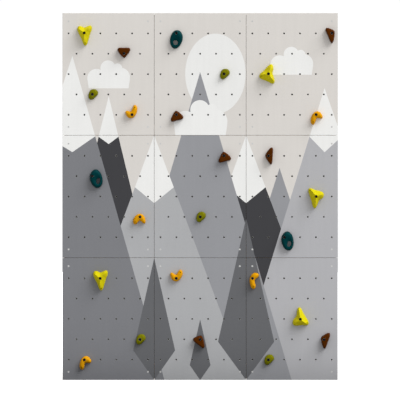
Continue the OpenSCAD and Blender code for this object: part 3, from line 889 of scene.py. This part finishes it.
def cast_hold(body, turn, shape, finish):
    """One hold, made as its side bands, a triangulated cap between its openings, and their walls. Plan
    places are measured from the bolt, as seen from the front, and heights stand off the panel."""
    angle = math.radians(turn)
    to_wall = np.array([[math.cos(angle), -math.sin(angle) * HOLD_RISE],
                        [math.sin(angle), math.cos(angle) * HOLD_RISE]])
    outline = smooth_outline(shape["outline"]) @ to_wall
    crown = np.array(shape["crown"], float) @ to_wall
    full_h = (front_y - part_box(body)[0].y) / MM - HOLD_GAP
    height = face_over(outline, crown, shape, full_h, np.linalg.inv(to_wall), turn)
    points, faces = [], []

    def add_ring(plan, heights):
        start = len(points)
        points.extend((x, y, h) for (x, y), h in zip(plan, np.broadcast_to(heights, len(plan))))
        return list(range(start, len(points)))

    def wall(upper, lower):
        """Quads between two rings that run anticlockwise, facing into the hole they line."""
        n = len(upper)
        faces.extend([upper[i], lower[i], lower[(i + 1) % n], upper[(i + 1) % n]] for i in range(n))

    square = shape["square"]
    turns = np.linspace(0, math.acos(CAP_SHARE ** (square / 2)), SIDE_BANDS + 1)
    bands = [crown + (outline - crown) * math.cos(a) ** (2 / square) for a in turns]
    rings = [add_ring(band, height(band) if i else 0.0) for i, band in enumerate(bands)]
    for lower, upper in zip(rings, rings[1:]):
        n = len(lower)
        faces.extend([lower[i], lower[(i + 1) % n], upper[(i + 1) % n], upper[i]] for i in range(n))

    numbers, mouths, base_rings, base_numbers = list(rings[-1]), [], [outline], list(rings[0])
    for ring, rim, steps in openings_of(shape, to_wall):
        mouth = ring + outward(ring) * rim
        mouth_h = height(mouth)
        mouths.append(mouth)
        above = add_ring(mouth, mouth_h)
        numbers += above
        rounding = [(ring + outward(ring) * rim * (1 - math.sin(q)), mouth_h - rim * (1 - math.cos(q)))
                    for q in np.linspace(0, math.pi / 2, RIM_STEPS + 1)[1:]]
        for step, step_h in rounding + steps:
            below = add_ring(step, float(mouth_h.min()) - LOCK_SCREW_DEPTH if step_h is None else step_h)
            wall(above, below)
            above = below
        if step_h is None:
            faces.append(above)
        else:
            base_rings.append(step)
            base_numbers += above
    plan, loops = stacked([bands[-1], *mouths])
    inner = cap_places(shape, to_wall, bands[-1], mouths)
    numbers += add_ring(inner, height(inner))
    faces.extend(filled(np.vstack([plan, inner]), loops, numbers, bands[-1], mouths))
    base_plan, loops = stacked(base_rings)
    base = filled(base_plan, loops, base_numbers, outline, base_rings[1:])
    faces.extend(face[::-1] for face in base)
    at = bolt_axis[body]
    placed = [(at.x + x * MM, front_y - (HOLD_GAP + h) * MM, at.z + y * MM) for x, y, h in points]
    hold = new_piece("cast_" + body, placed, faces, [finish])
    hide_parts(body)
    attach(hold, body)


# Cast resin with grit in it: shade that drifts over the hold, darker specks, and a sandy relief
cast_grit, given, out = new_group(
    "cast grit", "ShaderNodeTree",
    [("Vector", "Vector", None), ("Colour", "Color", (0.5, 0.5, 0.5, 1)),
     ("Dark", "Color", (0.2, 0.2, 0.2, 1))],
    [("Colour", "Color"), ("Height", "Float"), ("Sheen", "Float")])
drift = between(cast_grit, noise_on(cast_grit, given["Vector"], 35.0, 3.0), 0.3, 0.7)
specks = between(cast_grit, noise_on(cast_grit, given["Vector"], 1400.0, 2.0, 0.7), 0.56, 0.72)
dark_share = maths(cast_grit, "ADD", maths(cast_grit, "MULTIPLY", drift, 0.12),
                   maths(cast_grit, "MULTIPLY", specks, 0.3))
cast_grit.links.new(blend_colours(cast_grit, dark_share, given["Colour"], given["Dark"]), out["Colour"])
sand = add(cast_grit, "ShaderNodeTexVoronoi", {"Vector": given["Vector"], "Scale": 900.0}).outputs["Distance"]
cast_grit.links.new(maths(cast_grit, "ADD", maths(cast_grit, "MULTIPLY", sand, -0.7), specks), out["Height"])
cast_grit.links.new(between(cast_grit, drift, 0.0, 1.0, 0.5, 0.66), out["Sheen"])


def cast_resin(name, colour, dark):
    tint = [c / max(colour) for c in colour]
    material, tree, shader, place = new_finish(name, Specular_IOR_Level=0.14, Specular_Tint=(*tint, 1))
    grit = add(tree, "ShaderNodeGroup", node_tree=cast_grit)
    grit.inputs["Colour"].default_value = (*colour, 1)
    grit.inputs["Dark"].default_value = (*dark, 1)
    tree.links.new(place, grit.inputs["Vector"])
    tree.links.new(grit.outputs["Colour"], shader["Base Color"])
    tree.links.new(grit.outputs["Sheen"], shader["Roughness"])
    tree.links.new(bump(tree, grit.outputs["Height"], 0.14 * MM), shader["Normal"])
    return material


yellow_resin = cast_resin("yellow resin", (0.53, 0.465, 0.003), (0.30, 0.24, 0.001))

# A mould has its outline and its highest place, the height of its washer's seat, how square its
# shoulders are, how far out its top is level, and the share that its face falls by at each place
STAR_CRESTS = [[(0, 0), (26, 21), (44, 36)], [(0, 0), (-26, 15), (-44, 27)], [(0, 0), (0, -30), (1, -57)]]
STAR = {
    "outline": [(38, -2), (47, 15), (49, 31), (38, 39), (17, 34), (-2, 29), (-24, 36), (-41, 33),
                (-47, 18), (-36, -4), (-19, -28), (-6, -53), (7, -60), (18, -52), (28, -28)],
    "crown": (0, 0), "seat": 26, "square": 2.0, "flat": 0.44,
    "crests": STAR_CRESTS, "lock_screws": [(7, -48)],
    "fall": lambda p: 0.15 * np.tanh(from_lines(p, STAR_CRESTS) / 18),
}
for body, turn in {"hold_star_1": 0, "hold_star_2": 85, "hold_star_3": 135, "hold_star_4": 0,
                   "hold_star_5": 300}.items():
    cast_hold(body, turn, STAR, yellow_resin)


# Wedge holds. Brown ledges with the grip along their long side, from where the face falls away.
brown_resin = cast_resin("brown resin", (0.062, 0.0155, 0.001), (0.022, 0.005, 0.0005))
WEDGE = {
    "outline": [(37, 11), (40, 21), (32, 29), (0, 29), (-32, 29), (-43, 22), (-38, 8), (-16, -12),
                (0, -20), (15, -12)],
    "crown": (0, 9), "seat": 18, "square": 3.5, "flat": 0.78,
    "fall": lambda p: 0.1 * np.clip((29 - p[:, 1]) / 46, 0, 1),
}
for body, turn in {"hold_wedge_1": 0, "hold_wedge_2": 240, "hold_wedge_3": 170, "hold_wedge_4": 170,
                   "hold_wedge_5": 95, "hold_wedge_6": 210, "hold_wedge_7": 115}.items():
    cast_hold(body, turn, WEDGE, brown_resin)


# Pocket holds. Dark teal domes with an oval finger pocket right through them, below the bolt.
POCKET_REACH = 46
POCKET_DIRECTION = math.radians(264)
POCKET_HALF_W = 15.5
POCKET_HALF_L = 12.5
teal_resin = cast_resin("teal resin", (0.0008, 0.026, 0.029), (0.0004, 0.010, 0.012))
oval = ellipse(POCKET_REACH, 0, POCKET_HALF_L, POCKET_HALF_W, 48)
oval = oval @ np.array([[math.cos(POCKET_DIRECTION), math.sin(POCKET_DIRECTION)],
                        [-math.sin(POCKET_DIRECTION), math.cos(POCKET_DIRECTION)]])
POCKET = {
    "outline": [(31, 6), (12, 15), (-9, 14), (-27, 2), (-39, -20), (-42, -43),
                (-34, -62), (-18, -74), (4, -73), (25, -59), (39, -38), (42, -13)],
    "crown": (-1, -26), "seat": 16, "square": 3.0, "flat": 0.55, "pocket": oval, "pocket_rim": 3.4,
    "fall": lambda p: 0.42 * np.exp(-(np.linalg.norm(p - oval.mean(axis=0), axis=1) / 26) ** 2),
}
for body, turn in {"hold_pocket_1": 0, "hold_pocket_2": 295, "hold_pocket_3": 308}.items():
    cast_hold(body, turn, POCKET, teal_resin)


# Crimp holds. Small olive ovals with a shallow groove for the finger ends.
olive_resin = cast_resin("olive resin", (0.145, 0.143, 0.002), (0.065, 0.062, 0.001))
CRIMP_GROOVE = [[(-13, -14), (-15, 2), (-6, 14), (9, 17)]]
CRIMP = {
    "outline": [(38, 4), (35, 15), (24, 24), (8, 26), (-10, 22), (-21, 10),
                (-26, -6), (-22, -20), (-9, -26), (7, -22), (22, -12), (33, -4)],
    "crown": (2, 2), "seat": 14, "square": 2.6, "flat": 0.56,
    "fall": lambda p: 0.13 * np.exp(-(from_lines(p, CRIMP_GROOVE) / 4.5) ** 2),
}
for body in ("hold_crimp_1", "hold_crimp_2", "hold_crimp_3", "hold_crimp_4", "hold_crimp_5"):
    cast_hold(body, 0, CRIMP, olive_resin)


# Crescent holds. Orange bent bars with a rounded back, and a small second hole where a screw can stop
# them from turning.
orange_resin = cast_resin("orange resin", (0.60, 0.275, 0.003), (0.30, 0.11, 0.001))
CRESCENT_SPINE = [[(22, 43), (19, 26), (9, 6), (-14, 0), (-31, 5), (-42, 8)]]
CRESCENT = {
    "outline": [(22, -3), (30, 10), (35, 27), (31, 42), (19, 49), (7, 42), (1, 28), (-6, 18),
                (-18, 17), (-33, 20), (-44, 14), (-41, 1), (-28, -12), (-12, -17), (5, -15), (15, -9)],
    "crown": (0, 0), "seat": 15, "square": 2.5, "flat": 0.72, "lock_screws": [(18, 35)],
    "fall": lambda p: 0.3 * (1 - np.exp(-(from_lines(p, CRESCENT_SPINE) / 15) ** 2)),
}
for body, turn in {"hold_crescent_1": 0, "hold_crescent_2": 180, "hold_crescent_3": 205,
                   "hold_crescent_4": 15, "hold_crescent_5": 140, "hold_crescent_6": 175}.items():
    cast_hold(body, turn, CRESCENT, orange_resin)


# Washers and bolts. A plated washer in the bottom of each hold's recess, and a black socket head
# bolt through it into the insert, long enough to show a few turns of thread behind the panel.
WASHER_R = 9 * MM
WASHER_T = 2 * MM
WASHER_HOLE_R = 5.5 * MM
WASHER_CHAMFER = 0.3 * MM
WASHER_SIDES = 40
BOLT_R = 5 * MM
BOLT_HEAD_R = 8 * MM
BOLT_HEAD_H = 10 * MM
BOLT_CHAMFER = 0.8 * MM
BOLT_KEY_R = 8 / math.cos(math.radians(30)) / 2 * MM
BOLT_KEY_DEPTH = 5 * MM
BOLT_TAIL = 6 * MM
BOLT_STEP = 5 * MM
THREAD_PITCH = 1.5 * MM
THREAD_DEPTH = 0.8 * MM
THREAD_LEAD_IN = 1 * MM
THREAD_TURNS = 9
BOLT_SIDES = 32
THREAD_SIDES = 24
SHAPES = {"star": STAR, "wedge": WEDGE, "pocket": POCKET, "crimp": CRIMP, "crescent": CRESCENT}

black_oxide = metal("black oxide", (0.009, 0.0085, 0.008), (0.02, 0.018, 0.016), 0.42, 0.85, 240.0)

washer_tree, given, out = new_layout("washer layout", 2, ["Radius", "Hole radius", "Thickness", "Chamfer"])
rim_r = maths(washer_tree, "SUBTRACT", given["Radius"], given["Chamfer"])
rim_h = maths(washer_tree, "SUBTRACT", given["Thickness"], given["Chamfer"])
washer = turned(washer_tree, [
    (given["Hole radius"], 0.0), (given["Radius"], 0.0), (given["Radius"], rim_h),
    (rim_r, given["Thickness"]), (given["Hole radius"], given["Thickness"]), (given["Hole radius"], 0.0)],
    WASHER_SIDES)
field = on_each(washer_tree, given["Geometry"], washer, given["Seed"])
stand_on_wall(washer_tree, field, out["Geometry"], given["Finish"], 0.0)

bolt_tree, given, out = new_layout("bolt layout", 5, [
    "Length", "Shank radius", "Head radius", "Head height", "Key radius", "Key depth"])
edge_r = maths(bolt_tree, "SUBTRACT", given["Head radius"], BOLT_CHAMFER)
edge_h = maths(bolt_tree, "SUBTRACT", given["Head height"], BOLT_CHAMFER)
thread_l = THREAD_TURNS * THREAD_PITCH
shank_end = maths(bolt_tree, "SUBTRACT", thread_l, given["Length"])
bolt = turned(bolt_tree, [
    (0.0, shank_end), (given["Shank radius"], shank_end), (given["Shank radius"], 0.0),
    (given["Head radius"], 0.0), (given["Head radius"], edge_h), (edge_r, given["Head height"]),
    (0.0, given["Head height"])], BOLT_SIDES)
bolt = with_hexagon(bolt_tree, bolt, given["Key radius"], given["Head height"], given["Key depth"])
root_r = maths(bolt_tree, "SUBTRACT", given["Shank radius"], THREAD_DEPTH)
thread_corners = [(given["Shank radius"] if i % 2 else root_r, (i - 1) * THREAD_PITCH / 2 + THREAD_LEAD_IN)
                  for i in range(1, 2 * THREAD_TURNS)]
thread = turned(bolt_tree, [(0.0, 0.0), (root_r, 0.0)] + thread_corners + [(0.0, thread_l)], THREAD_SIDES)
to_the_end = vector_of(bolt_tree, Z=maths(bolt_tree, "MULTIPLY", given["Length"], -1.0))
thread = add(bolt_tree, "GeometryNodeTransform", {"Geometry": thread, "Translation": to_the_end}).outputs[0]
field = on_each(bolt_tree, given["Geometry"], joined(bolt_tree, bolt, thread), given["Seed"])
stand_on_wall(bolt_tree, field, out["Geometry"], given["Finish"], 0.0)


def lay_flat(place, height):
    """A bolt's place in the flat layout that the trees stand up against the wall."""
    return place.x, place.z, -front_y + height


washer_places, bolt_parts = [], []
for kind, shape in SHAPES.items():
    axes = [axis for name, axis in bolt_axis.items() if name.split("_")[1] == kind]
    seat = (2 * HOLD_GAP + shape["seat"]) * MM
    washer_places += [lay_flat(axis, seat) for axis in axes]
    length = BOLT_STEP * math.ceil((seat + WASHER_T + panel_t + BOLT_TAIL) / BOLT_STEP - 1e-6)
    bolt_parts.append(grown(f"bolts_{kind}", bolt_tree, {
        "Length": length, "Shank radius": BOLT_R, "Head radius": BOLT_HEAD_R, "Head height": BOLT_HEAD_H,
        "Key radius": BOLT_KEY_R, "Key depth": BOLT_KEY_DEPTH, "Finish": black_oxide,
    }, [lay_flat(axis, seat + WASHER_T) for axis in axes]))
washers = grown("plated_washers", washer_tree, {
    "Radius": WASHER_R, "Hole radius": WASHER_HOLE_R, "Thickness": WASHER_T, "Chamfer": WASHER_CHAMFER,
    "Finish": zinc_plate}, washer_places)
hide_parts("hold_washers")
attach(washers, "root")
bpy.ops.object.select_all(action="DESELECT")
for part in bolt_parts:
    part.select_set(True)
bpy.context.view_layer.objects.active = bolt_parts[0]
bpy.ops.object.join()
bolts = bpy.context.view_layer.objects.active
bolts.name = "black_hold_bolts"
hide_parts("hold_bolts")
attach(bolts, "root")


# Studio. A white room with a pale floor at the foot of the wall, a soft sun from the upper right and a
# weaker one from behind. A near-black sheet behind the wall, seen only by the camera and only from the
# front, is painted shade: it darkens what shows through the bores and the joints.
CAMERA_DISTANCE = 20
CAMERA_X = -0.001
CAMERA_Z = -0.0226
FRAME_WIDTH = 2.62
KEY_TOWARDS = (0.57, -0.34, 0.75)
KEY_STRENGTH = 3.5
KEY_SPREAD = 46
BACK_TOWARDS = (-0.5, 0.65, 0.6)
BACK_STRENGTH = 1.1
BACK_SPREAD = 30
ROOM_LIGHT = 0.72
ROOM_AS_SEEN = 1.02
FLOOR_REACH = 30
SHADED_FLOOR = 0.24
SHADED_HALF_W = 2
SHADED_DROP = 0.001
BACKING_MARGIN = 0.03
BACKING_GAP = 0.002

scene = bpy.context.scene
scene.view_settings.view_transform = "Standard"
scene.view_settings.look = "None"
world = bpy.data.worlds.new("white room")
scene.world = world
world.use_nodes = True
tree = world.node_tree
tree.nodes.clear()
seen = add(tree, "ShaderNodeLightPath").outputs["Is Camera Ray"]
strength = maths(tree, "ADD", ROOM_LIGHT, maths(tree, "MULTIPLY", seen, ROOM_AS_SEEN - ROOM_LIGHT))
background = add(tree, "ShaderNodeBackground", {"Color": (1, 1, 1, 1), "Strength": strength}).outputs[0]
add(tree, "ShaderNodeOutputWorld", {"Surface": background})


def stage_sheet(name, corners, material):
    mesh = bpy.data.meshes.new(name)
    mesh.from_pydata(corners, [], [(0, 1, 2, 3)])
    mesh.materials.append(material)
    sheet = bpy.data.objects.new(name, mesh)
    scene.collection.objects.link(sheet)
    return sheet


def level(half_w, near_y, far_y, z):
    return [(-half_w, near_y, z), (half_w, near_y, z), (half_w, far_y, z), (-half_w, far_y, z)]


pale_floor, tree, shader, place = new_finish(
    "pale floor", Roughness=0.9, Emission_Strength=0.7, Specular_IOR_Level=0.0)
shader["Base Color"].default_value = (0.8, 0.8, 0.8, 1)
shader["Emission Color"].default_value = (1, 1, 1, 1)
floor = stage_sheet("floor", level(FLOOR_REACH, -FLOOR_REACH, FLOOR_REACH, cad_low.z), pale_floor)
floor.visible_diffuse = False
floor.visible_glossy = False
floor.visible_shadow = False

# The ground at the wall's foot throws no light up, so the lowest part of the mural is a little darker
dark_ground, tree, shader, place = new_finish("dark ground", Base_Color=(0, 0, 0, 1), Specular_IOR_Level=0.0)
ground_sheet = level(SHADED_HALF_W, front_y - SHADED_FLOOR, front_y, cad_low.z - SHADED_DROP)
ground = stage_sheet("shaded ground", ground_sheet, dark_ground)
ground.visible_camera = False
ground.visible_glossy = False

# The backing's near-black is painted shade for the bores and joints, and it lets all light through from
# behind
backing_shade = bpy.data.materials.new("backing shade")
backing_shade.use_nodes = True
tree = backing_shade.node_tree
tree.nodes.clear()
dark = add(tree, "ShaderNodeBsdfDiffuse", {"Color": (0.02, 0.02, 0.02, 1)}).outputs[0]
clear = add(tree, "ShaderNodeBsdfTransparent").outputs[0]
from_behind = add(tree, "ShaderNodeNewGeometry").outputs["Backfacing"]
one_way = add(tree, "ShaderNodeMixShader", {0: from_behind, 1: dark, 2: clear}).outputs[0]
add(tree, "ShaderNodeOutputMaterial", {"Surface": one_way})
left, right = cad_low.x + BACKING_MARGIN, cad_high.x - BACKING_MARGIN
foot, top = cad_low.z + BACKING_MARGIN, cad_high.z - BACKING_MARGIN
behind_y = cad_high.y + BACKING_GAP
backing = stage_sheet("backing", [
    (left, behind_y, foot), (right, behind_y, foot), (right, behind_y, top), (left, behind_y, top),
], backing_shade)
backing.visible_diffuse = False
backing.visible_glossy = False
backing.visible_transmission = False
backing.visible_shadow = False


def soft_light(name, towards, strength, spread):
    light = bpy.data.lights.new(name, "SUN")
    light.energy = strength
    light.angle = math.radians(spread)
    holder = bpy.data.objects.new(name, light)
    scene.collection.objects.link(holder)
    holder.rotation_mode = "QUATERNION"
    holder.rotation_quaternion = Vector(towards).to_track_quat("Z", "Y")


soft_light("key light", KEY_TOWARDS, KEY_STRENGTH, KEY_SPREAD)
soft_light("light behind", BACK_TOWARDS, BACK_STRENGTH, BACK_SPREAD)

camera = bpy.data.cameras.new("camera")
camera.sensor_width = 36
camera.lens = camera.sensor_width * CAMERA_DISTANCE / FRAME_WIDTH
camera_object = bpy.data.objects.new("camera", camera)
scene.collection.objects.link(camera_object)
camera_object.location = (CAMERA_X, front_y - CAMERA_DISTANCE, CAMERA_Z)
camera_object.rotation_euler = (math.pi / 2, 0, 0)
scene.camera = camera_object
